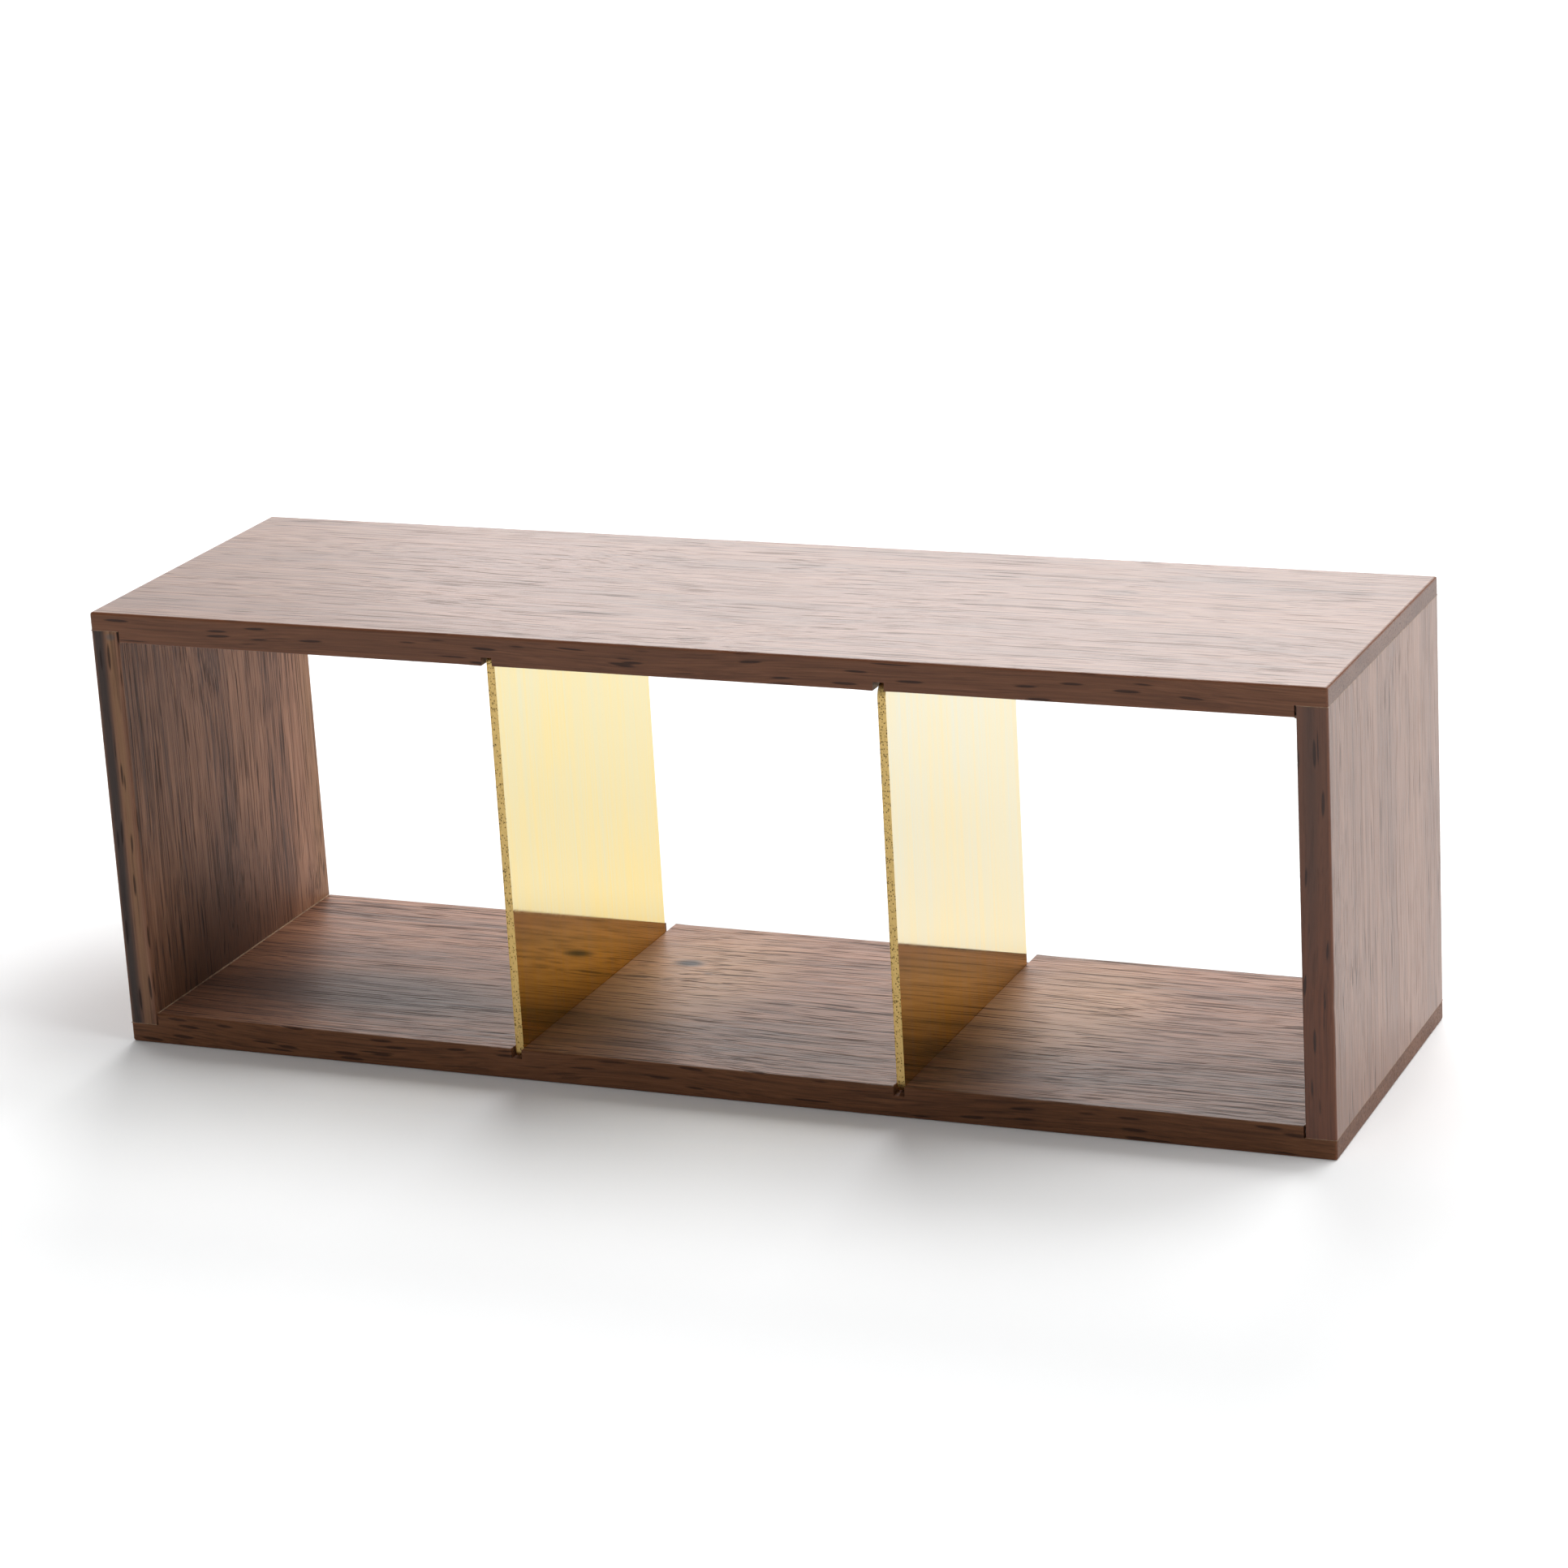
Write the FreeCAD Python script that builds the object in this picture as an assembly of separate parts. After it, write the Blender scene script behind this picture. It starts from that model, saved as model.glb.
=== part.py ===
import FreeCAD, Part
import os

# Open box frame: four wooden boards glued at rebated corners, with two loose brass
# plates that slide in saw grooves and divide it into three compartments.
# Millimetres. The origin is the middle of the underside. +X runs along the length to
# the right side, +Y from the front opening to the back opening, and +Z up.

# The frame's outer size.
box_length = 250.0
box_depth = 75.0
box_height = 89.5

# The four wooden boards.
top_thickness = 5.9
bottom_thickness = 6.2
side_thickness = 5.9

# The corner joints: each side stands in a rebate in the end of the top or bottom board.
rebate_depth = 2.3
shoulder_gap = 0.3
glue_thickness = 0.1

# The eased edges: those outside the frame, and those around its front and back openings.
outer_edge_round = 0.5
inner_edge_round = 0.3

# The two divider plates. Each stands at its own setback, where it was last pushed to.
plate_thickness = 1.6
plate_depth = 68.5
left_plate_setback = 1.1
left_plate_corner_radius = 1.0
right_plate_setback = 0.6
right_plate_corner_radius = 3.0

# The saw grooves that guide the plates, and the plates' clearance in them.
top_groove_depth = 1.7
bottom_groove_depth = 1.9
groove_play = 0.6
plate_top_play = 0.3
groove_shift = 0.5

# What follows from the sizes above.
half_length = box_length / 2
half_depth = box_depth / 2
inner_distance = half_length - side_thickness
shoulder_distance = inner_distance - shoulder_gap
underside_of_top = box_height - top_thickness
side_bottom = bottom_thickness - rebate_depth + glue_thickness
side_top = underside_of_top + rebate_depth - glue_thickness
groove_width = plate_thickness + groove_play
plate_bottom = bottom_thickness - bottom_groove_depth
plate_top = underside_of_top + top_groove_depth - plate_top_play

# The grooves stand at the thirds of the clear width, all moved by the same small shift.
left_groove_middle = groove_shift - inner_distance / 3
right_groove_middle = groove_shift + inner_distance / 3
groove_middles = (left_groove_middle, right_groove_middle)

along_length = FreeCAD.Vector(1, 0, 0)
upright = FreeCAD.Vector(0, 0, 1)


def block(low, high):
    """Return a box between two opposite corners."""
    size = [high[axis] - low[axis] for axis in range(3)]
    return Part.makeBox(*size, FreeCAD.Vector(*low))


def edges_along(shape, direction):
    """Return the shape's edges that run along a direction."""
    found = []
    for edge in shape.Edges:
        if abs(edge.tangentAt(edge.FirstParameter).dot(direction)) > 0.999:
            found.append(edge)
    return found


def frame_envelope():
    """Return the whole frame's outer block, with every outer edge eased."""
    outer = block((-half_length, -half_depth, 0), (half_length, half_depth, box_height))
    return outer.makeFillet(outer_edge_round, outer.Edges)


def long_board(thickness, groove_depth):
    """Return a full-length board that lies with its rebates and grooves up."""
    board = block((-half_length, -half_depth, 0), (half_length, half_depth, thickness))
    for hand in (-1, 1):
        left, right = sorted((hand * shoulder_distance, hand * half_length))
        board = board.cut(block((left, -half_depth, thickness - rebate_depth),
                                (right, half_depth, thickness)))
    inner_edges = [edge for edge in edges_along(board, along_length)
                   if edge.CenterOfMass.z > thickness - rebate_depth / 2]
    board = board.makeFillet(inner_edge_round, inner_edges)
    for middle in groove_middles:
        board = board.cut(block((middle - groove_width / 2, -half_depth, thickness - groove_depth),
                                (middle + groove_width / 2, half_depth, thickness)))
    return board


def bottom_board():
    """Return the bottom board, grooves up."""
    return long_board(bottom_thickness, bottom_groove_depth).common(frame_envelope())


def top_board():
    """Return the top board, which is turned so that its grooves face those of the bottom board."""
    board = long_board(top_thickness, top_groove_depth)
    board = board.mirror(FreeCAD.Vector(0, 0, box_height / 2), upright)
    return board.common(frame_envelope())


def upright_piece(hand, bottom, top):
    """Return what stands at the left end (hand -1) or the right end (hand 1) between two heights."""
    left, right = sorted((hand * inner_distance, hand * half_length))
    piece = block((left, -half_depth, bottom), (right, half_depth, top))
    inner_edges = [edge for edge in edges_along(piece, upright)
                   if abs(edge.CenterOfMass.x) < inner_distance + side_thickness / 2]
    piece = piece.makeFillet(inner_edge_round, inner_edges)
    return piece.common(frame_envelope())


def side_board(hand):
    """Return a side board, which reaches from the lower glue film to the upper one."""
    return upright_piece(hand, side_bottom, side_top)


def lower_glue_film(hand):
    """Return the glue between a side board's foot and the floor of its rebate."""
    return upright_piece(hand, side_bottom - glue_thickness, side_bottom)


def upper_glue_film(hand):
    """Return the glue between a side board's head and the roof of its rebate."""
    return upright_piece(hand, side_top, side_top + glue_thickness)


def divider_plate(groove_middle, setback, corner_radius):
    """Return a plate that stands on its groove's floor, against the groove's right wall."""
    plate_right = groove_middle + groove_width / 2
    plate_front = setback - half_depth
    plate = block((plate_right - plate_thickness, plate_front, plate_bottom),
                  (plate_right, plate_front + plate_depth, plate_top))
    return plate.makeFillet(corner_radius, edges_along(plate, along_length))


def build_nodes():
    """Return every piece of the object by its node name."""
    return {
        "bottom_board": bottom_board(),
        "top_board": top_board(),
        "left_side": side_board(-1),
        "right_side": side_board(1),
        "glue_bottom_left": lower_glue_film(-1),
        "glue_bottom_right": lower_glue_film(1),
        "glue_top_left": upper_glue_film(-1),
        "glue_top_right": upper_glue_film(1),
        "left_divider": divider_plate(left_groove_middle, left_plate_setback, left_plate_corner_radius),
        "right_divider": divider_plate(right_groove_middle, right_plate_setback, right_plate_corner_radius),
    }


def main():
    """Build each piece, say whether it is one sound solid, and write its file."""
    os.makedirs("parts", exist_ok=True)
    for name, shape in build_nodes().items():
        print(name, "sound", shape.isValid(), "solids", len(shape.Solids), "volume", round(shape.Volume, 2))
        shape.Solids[0].exportStep("parts/" + name + ".step")


main()
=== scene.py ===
"""Looks of the walnut box frame with two brass divider plates: wood, metal, wear, light and camera.

Sizes are in metres and come from the frame. Patterns inside the materials are written in millimetres.
"""
import logging
import math
from collections.abc import Callable, Iterable
from dataclasses import dataclass
from enum import Enum

import bpy
from mathutils import Matrix, Vector


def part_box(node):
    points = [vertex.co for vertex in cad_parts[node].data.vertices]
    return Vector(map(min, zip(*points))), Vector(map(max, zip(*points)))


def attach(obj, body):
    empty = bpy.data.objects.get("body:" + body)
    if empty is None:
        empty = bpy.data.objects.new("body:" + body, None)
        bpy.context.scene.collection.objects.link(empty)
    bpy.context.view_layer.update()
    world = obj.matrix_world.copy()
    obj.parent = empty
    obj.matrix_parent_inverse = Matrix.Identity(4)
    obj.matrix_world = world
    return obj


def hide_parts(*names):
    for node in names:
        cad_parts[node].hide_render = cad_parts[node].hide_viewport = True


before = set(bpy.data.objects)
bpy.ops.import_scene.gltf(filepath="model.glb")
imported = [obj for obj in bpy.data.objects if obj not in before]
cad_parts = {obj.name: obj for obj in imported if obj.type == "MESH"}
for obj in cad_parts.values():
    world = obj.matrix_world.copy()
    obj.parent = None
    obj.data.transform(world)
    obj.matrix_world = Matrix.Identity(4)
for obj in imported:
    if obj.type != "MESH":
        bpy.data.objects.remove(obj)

log = logging.getLogger("box_frame")

MM = 0.001
HAIR = 0.01 * MM
WELD = 1e-7
PLATES = ("left_divider", "right_divider")
BEADS = {"glue_bottom_left": 0.16 * MM, "glue_bottom_right": 0.16 * MM,
         "glue_top_left": 0.2 * MM, "glue_top_right": 0.3 * MM}

Triple = tuple[float, float, float]
Socket = bpy.types.NodeSocket
Value = float | Socket
Test = Callable[[Vector, Vector], bool]


class Graph:
    """A material's node tree, with short calls for the nodes that the finishes share."""

    def __init__(self, name: str) -> None:
        """Start an empty material.

        Args:
            name: The material's name.
        """
        self.material = bpy.data.materials.new(name)
        self.material.use_nodes = True
        self.tree = self.material.node_tree
        self.tree.nodes.clear()

    def add(self, kind: str, **settings: object) -> bpy.types.Node:
        """Add a node.

        Args:
            kind: The node's Blender type.
            settings: Properties to set on it.

        Returns:
            The new node.
        """
        node = self.tree.nodes.new(kind)
        for name, value in settings.items():
            setattr(node, name, value)
        return node

    def feed(self, socket: Socket, value: object) -> None:
        """Link another node's output to a socket, or set the socket's own value.

        Args:
            socket: The input to fill.
            value: An output socket or a constant.
        """
        if isinstance(value, Socket):
            self.tree.links.new(value, socket)
        else:
            socket.default_value = value

    def math(self, operation: str, first: Value, second: Value = 0.0, clamp: bool = False) -> Socket:
        """Combine two numbers.

        Args:
            operation: The Math node's operation.
            first: The first number.
            second: The second number.
            clamp: Whether the result is kept between 0 and 1.

        Returns:
            The result's socket.
        """
        node = self.add("ShaderNodeMath", operation=operation, use_clamp=clamp)
        self.feed(node.inputs[0], first)
        self.feed(node.inputs[1], second)
        return node.outputs[0]

    def plus(self, first: Value, second: Value) -> Socket:
        """Return the sum of two numbers."""
        return self.math("ADD", first, second)

    def minus(self, first: Value, second: Value) -> Socket:
        """Return the first number less the second."""
        return self.math("SUBTRACT", first, second)

    def times(self, first: Value, second: Value) -> Socket:
        """Return the product of two numbers."""
        return self.math("MULTIPLY", first, second)

    def vector(self, operation: str, first: Socket, second: object = None) -> bpy.types.Node:
        """Combine two vectors, or measure one.

        Args:
            operation: The Vector Math node's operation.
            first: The first vector.
            second: The second vector, as a socket or three numbers, or None.

        Returns:
            The node.
        """
        node = self.add("ShaderNodeVectorMath", operation=operation)
        self.feed(node.inputs[0], first)
        if second is not None:
            self.feed(node.inputs[1], second)
        return node

    def stretch(self, vector: Socket, factors: Triple) -> Socket:
        """Return a vector whose three parts have been multiplied by three factors."""
        return self.vector("MULTIPLY", vector, factors).outputs["Vector"]

    def move(self, vector: Socket, offset: object) -> Socket:
        """Return a vector with an offset added, which is three numbers or a socket."""
        return self.vector("ADD", vector, offset).outputs["Vector"]

    def length(self, vector: Socket) -> Socket:
        """Return a vector's length."""
        return self.vector("LENGTH", vector).outputs["Value"]

    def parts(self, vector: Socket) -> tuple[Socket, ...]:
        """Return the three parts of a vector."""
        node = self.add("ShaderNodeSeparateXYZ")
        self.feed(node.inputs[0], vector)
        return tuple(node.outputs)

    def join(self, x: Value, y: Value, z: Value) -> Socket:
        """Return a vector made of three numbers."""
        node = self.add("ShaderNodeCombineXYZ")
        for socket, value in zip(node.inputs, (x, y, z)):
            self.feed(socket, value)
        return node.outputs[0]

    def place_mm(self) -> Socket:
        """Return the point on the piece in millimetres."""
        coordinates = self.add("ShaderNodeTexCoord")
        return self.stretch(coordinates.outputs["Object"], (1 / MM, 1 / MM, 1 / MM))

    def noise(self, vector: Socket, detail: float = 2.0, roughness: float = 0.5) -> Socket:
        """Return smooth noise, from about 0.3 to 0.7, at a vector that is already scaled.

        Args:
            vector: Where to read the noise.
            detail: How many finer octaves it has.
            roughness: How strong the finer octaves are.

        Returns:
            The noise's socket.
        """
        node = self.add("ShaderNodeTexNoise")
        self.feed(node.inputs["Vector"], vector)
        node.inputs["Scale"].default_value = 1.0
        node.inputs["Detail"].default_value = detail
        node.inputs["Roughness"].default_value = roughness
        return node.outputs["Fac"]

    def cells(self, vector: Socket) -> tuple[Socket, Socket]:
        """Return the distance to the nearest scattered point, and that point's random number."""
        node = self.add("ShaderNodeTexVoronoi", feature="F1", voronoi_dimensions="3D")
        self.feed(node.inputs["Vector"], vector)
        node.inputs["Scale"].default_value = 1.0
        return node.outputs["Distance"], self.parts(node.outputs["Color"])[0]

    def remap(self, value: Value, low: float, high: float, to_low: float = 0.0, to_high: float = 1.0,
              smooth: bool = True) -> Socket:
        """Move a number from one range to another and keep it there.

        Args:
            value: The number.
            low: Where the first range starts.
            high: Where the first range ends.
            to_low: What low becomes.
            to_high: What high becomes.
            smooth: Whether the ends are eased.

        Returns:
            The result's socket.
        """
        kind = "SMOOTHSTEP" if smooth else "LINEAR"
        node = self.add("ShaderNodeMapRange", interpolation_type=kind, clamp=True)
        self.feed(node.inputs["Value"], value)
        node.inputs["From Min"].default_value = low
        node.inputs["From Max"].default_value = high
        node.inputs["To Min"].default_value = to_low
        node.inputs["To Max"].default_value = to_high
        return node.outputs["Result"]

    def blend(self, factor: Value, first: object, second: object, mode: str = "MIX") -> Socket:
        """Blend two colours.

        Args:
            factor: How much of the second colour shows.
            first: The first colour, as three numbers or a socket.
            second: The second colour.
            mode: The blend mode.

        Returns:
            The colour's socket.
        """
        node = self.add("ShaderNodeMix", data_type="RGBA", blend_type=mode)
        self.feed(node.inputs[0], factor)
        for socket, value in ((node.inputs[6], first), (node.inputs[7], second)):
            self.feed(socket, value if isinstance(value, Socket) else (*value, 1.0))
        return node.outputs[2]

    def bump(self, height: Socket, depth: float) -> Socket:
        """Return a normal bent by a height from 0 to 1, where a height of 1 is depth metres deep."""
        node = self.add("ShaderNodeBump")
        node.inputs["Strength"].default_value = 1.0
        node.inputs["Distance"].default_value = depth
        self.feed(node.inputs["Height"], height)
        return node.outputs["Normal"]

    def surface(self, colour: object, roughness: Value, normal: Socket | None = None,
                **constants: object) -> bpy.types.ShaderNodeBsdfPrincipled:
        """Finish the material with one principled shader.

        Args:
            colour: The base colour.
            roughness: The roughness.
            normal: The bent normal, or None.
            constants: Values for the shader's other sockets, by name with underscores.

        Returns:
            The shader.
        """
        shader = self.add("ShaderNodeBsdfPrincipled")
        self.feed(shader.inputs["Base Color"], colour if isinstance(colour, Socket) else (*colour, 1.0))
        self.feed(shader.inputs["Roughness"], roughness)
        if normal is not None:
            self.feed(shader.inputs["Normal"], normal)
        for name, value in constants.items():
            shader.inputs[name.replace("_", " ")].default_value = value
        output = self.add("ShaderNodeOutputMaterial")
        self.tree.links.new(shader.outputs["BSDF"], output.inputs["Surface"])
        return shader


class Grain(Enum):
    """The way in which a board's grain runs."""

    ALONG_LENGTH = "X"
    UPRIGHT = "Z"


@dataclass(frozen=True)
class Layer:
    """One layer of grain noise.

    Attributes:
        along: The length of its patches along the grain, in millimetres.
        across: Their width across the grain, in millimetres.
        detail: How many finer octaves it has.
        roughness: How strong the finer octaves are.
        weight: How strongly it acts.
    """

    along: float
    across: float
    detail: float
    roughness: float = 0.5
    weight: float = 1.0

    def read(self, graph: Graph, place: Socket) -> Socket:
        """Return the layer's noise, from about 0.3 to 0.7."""
        scaled = graph.stretch(place, (1 / self.along, 1 / self.across, 1 / self.across))
        return graph.noise(scaled, self.detail, self.roughness)

    def swing(self, graph: Graph, noise: Socket) -> Socket:
        """Return the layer's noise as a swing around 0, by its weight."""
        return graph.times(graph.minus(noise, 0.5), self.weight)


@dataclass(frozen=True)
class PoreSize:
    """One size of open pores.

    Attributes:
        along: Their spacing along the grain, in millimetres.
        across: Their spacing across the grain, in millimetres.
        full: The part of the spacing as far as which a pore is darkest.
        end: The part of the spacing where it ends.
    """

    along: float
    across: float
    full: float
    end: float

    def read(self, graph: Graph, place: Socket, share: float) -> Socket:
        """Return 1 in a pore and 0 between them, where a share of the places hold a pore."""
        scaled = graph.stretch(place, (1 / self.along, 1 / self.across, 1 / self.across))
        distance, chance = graph.cells(scaled)
        body = graph.remap(distance, self.full, self.end, 1.0, 0.0)
        return graph.times(body, graph.math("LESS_THAN", chance, share))


@dataclass(frozen=True)
class Streak:
    """A soft band of another colour that runs with the grain.

    Attributes:
        across: Where its middle is, in millimetres across the width and through the thickness.
        half: Half its size the same two ways.
        colour: Its colour.
        strength: How much of the colour shows in its middle.
    """

    across: tuple[float, float]
    half: tuple[float, float]
    colour: Triple
    strength: float


@dataclass(frozen=True)
class Smudge:
    """A small soft patch laid into the wood's colour: a mark such as the root of a twig, and on some boards
    painted light and painted shade.

    Attributes:
        middle: Its place on the piece, in millimetres.
        half: Its half size, in millimetres.
        colour: Its colour.
        strength: How much of the colour shows in its middle.
    """

    middle: Triple
    half: Triple
    colour: Triple
    strength: float


# What moves the grain sideways, in millimetres: its slow waves and its small tremors.
SLOW_WAVE = Layer(95.0, 42.0, 1.0, weight=9.0)
TREMOR = Layer(24.0, 5.0, 2.0, weight=0.7)
STREAK_DRIFT = 0.3

# What makes the figure: broad bands, narrow bands and single fibres.
BROAD = Layer(230.0, 10.0, 2.0, weight=0.85)
NARROW = Layer(42.0, 1.1, 4.0, 0.62, 0.8)
FIBRE = Layer(30.0, 0.34, 3.0, 0.6, 1.25)
DARK_TONES = (-0.42, 0.02)
LIGHT_TONES = (0.0, 0.38)
EDGE_CONTRAST = 0.62

# The growth rings: a year's width in millimetres, and how thin and how dark its late wood is.
YEAR = 3.4
UNEVEN_YEARS = Layer(140.0, 16.0, 2.0, weight=2.4)
LATE_WOOD_POWER = 3.0
LATE_WOOD_WEIGHT = 0.10

# The open pores.
LARGE_PORES = PoreSize(11.0, 1.25, 0.18, 0.30)
LONG_PORES = PoreSize(23.0, 1.05, 0.13, 0.22)
SMALL_PORES = PoreSize(11.0, 0.45, 0.18, 0.38)
SMALL_SHARE, SMALL_STRENGTH, SMALL_ON_EDGE, SMALL_DEPTH = 0.62, 0.7, 0.55, 0.6
PORE_LINES = Layer(24.0, 0.5, 2.0)
PORE_LINE_RANGE = (0.55, 0.64)
LARGE_STRENGTH = 0.78

# How far behind the frame's outer faces the edges, the sanded wood, the end grain and the painted light along
# an arris reach, in millimetres, and how strongly the last two show.
EDGE_BAND = (0.2, 0.9)
SANDED_BAND = (0.25, 0.9)
END_BAND = (0.0, 0.12)
ARRIS_BAND = (0.22, 0.52)
ARRIS_PATCHES = Layer(9.0, 9.0, 3.0, 0.6)
ARRIS_PATCH_RANGE = (0.35, 0.6, 0.35, 1.0)
END_STRENGTH = 0.45
ARRIS_STRENGTH = 0.85

# How high the fibres and the narrow bands stand, where an open pore is 1 deep, and how coarse they are.
FIBRE_HEIGHT, NARROW_HEIGHT = 0.7, 1.2
NARROW_COARSENESS, COARSEST = 0.25, 1.2

# Where the colour of a streak or a smudge starts to fade, and where it ends, in half sizes.
MARK_FADE = (0.25, 1.15)


@dataclass(frozen=True)
class Walnut:
    """Sanded and thinly oiled walnut, as a solid pattern that runs right through a board.

    Attributes:
        name: The material's name.
        grain: The way in which the grain runs.
        cut: Where in the log the board was cut, in millimetres, which sets its figure.
        pith: The heart of the log, seen across the grain, in millimetres from the origin.
        light: The colour of the palest wood.
        middle: The colour of most of the wood.
        dark: The colour of the darkest streaks.
        pore: The colour inside an open pore.
        contrast: How strongly the streaks differ.
        edge_dashes: The share of places on the narrow edges that hold a large pore.
        face_dashes: The same on the faces.
        fine_pores: How strongly the fine pores show.
        streaks: Bands of another colour.
        smudges: Small marks, among them patches of painted light and painted shade.
        roughness: The roughness of the smoothest and of the coarsest wood.
        relief: How far the grain stands out, in millimetres.
        ior: The refractive index of its thin oil.
        sheen: How strongly its raised fibres catch the light at a glancing angle.
        sanding: How much of the figure's strength is left on the frame's outer faces.
        edge_tint: What the colour is multiplied by on the front and back edges.
        arris_light: The colour painted along the outer arrises: painted light, the line that light draws on
            their rounding.
        end: The colour of the end grain.
        outside: Half the frame's length, half its depth, and its height, in millimetres.
    """

    name: str
    grain: Grain
    cut: Triple
    pith: tuple[float, float]
    light: Triple = (0.345, 0.174, 0.106)
    middle: Triple = (0.244, 0.113, 0.065)
    dark: Triple = (0.105, 0.048, 0.031)
    pore: Triple = (0.026, 0.015, 0.013)
    contrast: float = 1.0
    edge_dashes: float = 0.62
    face_dashes: float = 0.15
    fine_pores: float = 0.45
    streaks: tuple[Streak, ...] = ()
    smudges: tuple[Smudge, ...] = ()
    roughness: tuple[float, float] = (0.42, 0.72)
    relief: float = 0.035
    ior: float = 1.30
    sheen: float = 0.30
    sanding: float = 0.62
    edge_tint: Triple = (0.92, 0.82, 0.74)
    arris_light: Triple = (0.190, 0.066, 0.030)
    end: Triple = (0.110, 0.062, 0.044)
    outside: Triple = (125.0, 37.5, 89.5)

    def grain_space(self, graph: Graph) -> Socket:
        """Return the point as (along the grain, across the width, through the thickness)."""
        x, y, z = graph.parts(graph.place_mm())
        if self.grain is Grain.ALONG_LENGTH:
            return graph.join(x, y, z)
        return graph.join(z, y, x)

    def behind_faces(self, graph: Graph) -> tuple[Socket, Socket, Socket]:
        """Return how far a point lies behind the frame's end, its opening, and its top or underside."""
        x, y, z = graph.parts(graph.place_mm())
        half_length, half_depth, height = self.outside
        behind_end = graph.minus(half_length, graph.math("ABSOLUTE", x))
        behind_opening = graph.minus(half_depth, graph.math("ABSOLUTE", y))
        behind_top = graph.math("MINIMUM", z, graph.minus(height, z))
        return behind_end, behind_opening, behind_top

    def rings(self, graph: Graph, wandering: Socket) -> Socket:
        """Return the growth rings, from 0 in early wood to 1 in the thin late wood."""
        _, across, through = graph.parts(wandering)
        across = graph.minus(across, self.cut[1] + self.pith[0])
        through = graph.minus(through, self.cut[2] + self.pith[1])
        radius = graph.math("SQRT", graph.plus(graph.times(across, across), graph.times(through, through)))
        uneven = graph.times(UNEVEN_YEARS.read(graph, wandering), UNEVEN_YEARS.weight)
        years = graph.plus(graph.math("DIVIDE", radius, YEAR), uneven)
        return graph.math("POWER", graph.math("FRACT", years), LATE_WOOD_POWER)

    def figure(self, graph: Graph, wandering: Socket, narrow: Socket, fibre: Socket) -> Socket:
        """Return how much paler than most of the wood a place is, below 0 where it is darker.

        Args:
            graph: The material's graph.
            wandering: The point along the wandering grain.
            narrow: The noise of the narrow bands.
            fibre: The noise of the fibres.

        Returns:
            The tone's socket.
        """
        tone = BROAD.swing(graph, BROAD.read(graph, wandering))
        tone = graph.plus(tone, NARROW.swing(graph, narrow))
        tone = graph.plus(tone, FIBRE.swing(graph, fibre))
        return graph.minus(tone, graph.times(self.rings(graph, wandering), LATE_WOOD_WEIGHT))

    def arris(self, graph: Graph, behind: tuple[Socket, Socket, Socket]) -> Socket:
        """Return 1 on the frame's outer arrises and 0 a short way from them."""
        end, opening, top = behind
        first, second, third = (graph.math("MAXIMUM", one, other)
                                for one, other in ((end, opening), (end, top), (opening, top)))
        nearest = graph.math("MINIMUM", graph.math("MINIMUM", first, second), third)
        uneven = ARRIS_PATCHES.read(graph, graph.place_mm())
        arris_light = graph.remap(nearest, *ARRIS_BAND, 1.0, 0.0)
        return graph.times(arris_light, graph.remap(uneven, *ARRIS_PATCH_RANGE))

    def tint(self, graph: Graph, colour: Socket, home: Socket) -> Socket:
        """Return the colour after the streaks and smudges have been laid into it.

        Args:
            graph: The material's graph.
            colour: The wood's colour.
            home: The point along the grain, in the piece's own millimetres.

        Returns:
            The colour's socket.
        """
        for streak in self.streaks:
            offset = graph.move(home, (0.0, -streak.across[0], -streak.across[1]))
            scaled = graph.stretch(offset, (0.0, 1 / streak.half[0], 1 / streak.half[1]))
            amount = graph.remap(graph.length(scaled), *MARK_FADE, streak.strength, 0.0)
            colour = graph.blend(amount, colour, streak.colour)
        for smudge in self.smudges:
            offset = graph.move(graph.place_mm(), tuple(-part for part in smudge.middle))
            scaled = graph.stretch(offset, tuple(1 / part for part in smudge.half))
            amount = graph.remap(graph.length(scaled), *MARK_FADE, smudge.strength, 0.0)
            colour = graph.blend(amount, colour, smudge.colour)
        return colour

    def material(self) -> bpy.types.Material:
        """Return the finished wood."""
        graph = Graph(self.name)
        straight = self.grain_space(graph)
        in_log = graph.move(straight, self.cut)
        drift = graph.plus(SLOW_WAVE.swing(graph, SLOW_WAVE.read(graph, in_log)),
                           TREMOR.swing(graph, TREMOR.read(graph, in_log)))
        wandering = graph.move(in_log, graph.join(0.0, drift, drift))
        small_drift = graph.times(drift, STREAK_DRIFT)
        home = graph.move(straight, graph.join(0.0, small_drift, small_drift))

        behind = self.behind_faces(graph)
        behind_end, behind_opening, behind_top = behind
        on_edge = graph.remap(behind_opening, *EDGE_BAND, 1.0, 0.0)
        sanded = graph.remap(graph.math("MINIMUM", behind_end, behind_top), *SANDED_BAND, self.sanding, 1.0)

        narrow, fibre = NARROW.read(graph, wandering), FIBRE.read(graph, wandering)
        tone = self.figure(graph, wandering, narrow, fibre)
        tone = graph.times(tone, graph.remap(on_edge, 0.0, 1.0, self.contrast, EDGE_CONTRAST, smooth=False))
        tone = graph.times(tone, sanded)
        colour = graph.blend(graph.remap(tone, *DARK_TONES, smooth=False), self.dark, self.middle)
        colour = graph.blend(graph.remap(tone, *LIGHT_TONES, smooth=False), colour, self.light)
        colour = graph.blend(on_edge, colour, self.edge_tint, "MULTIPLY")
        colour = self.tint(graph, colour, home)

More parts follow.
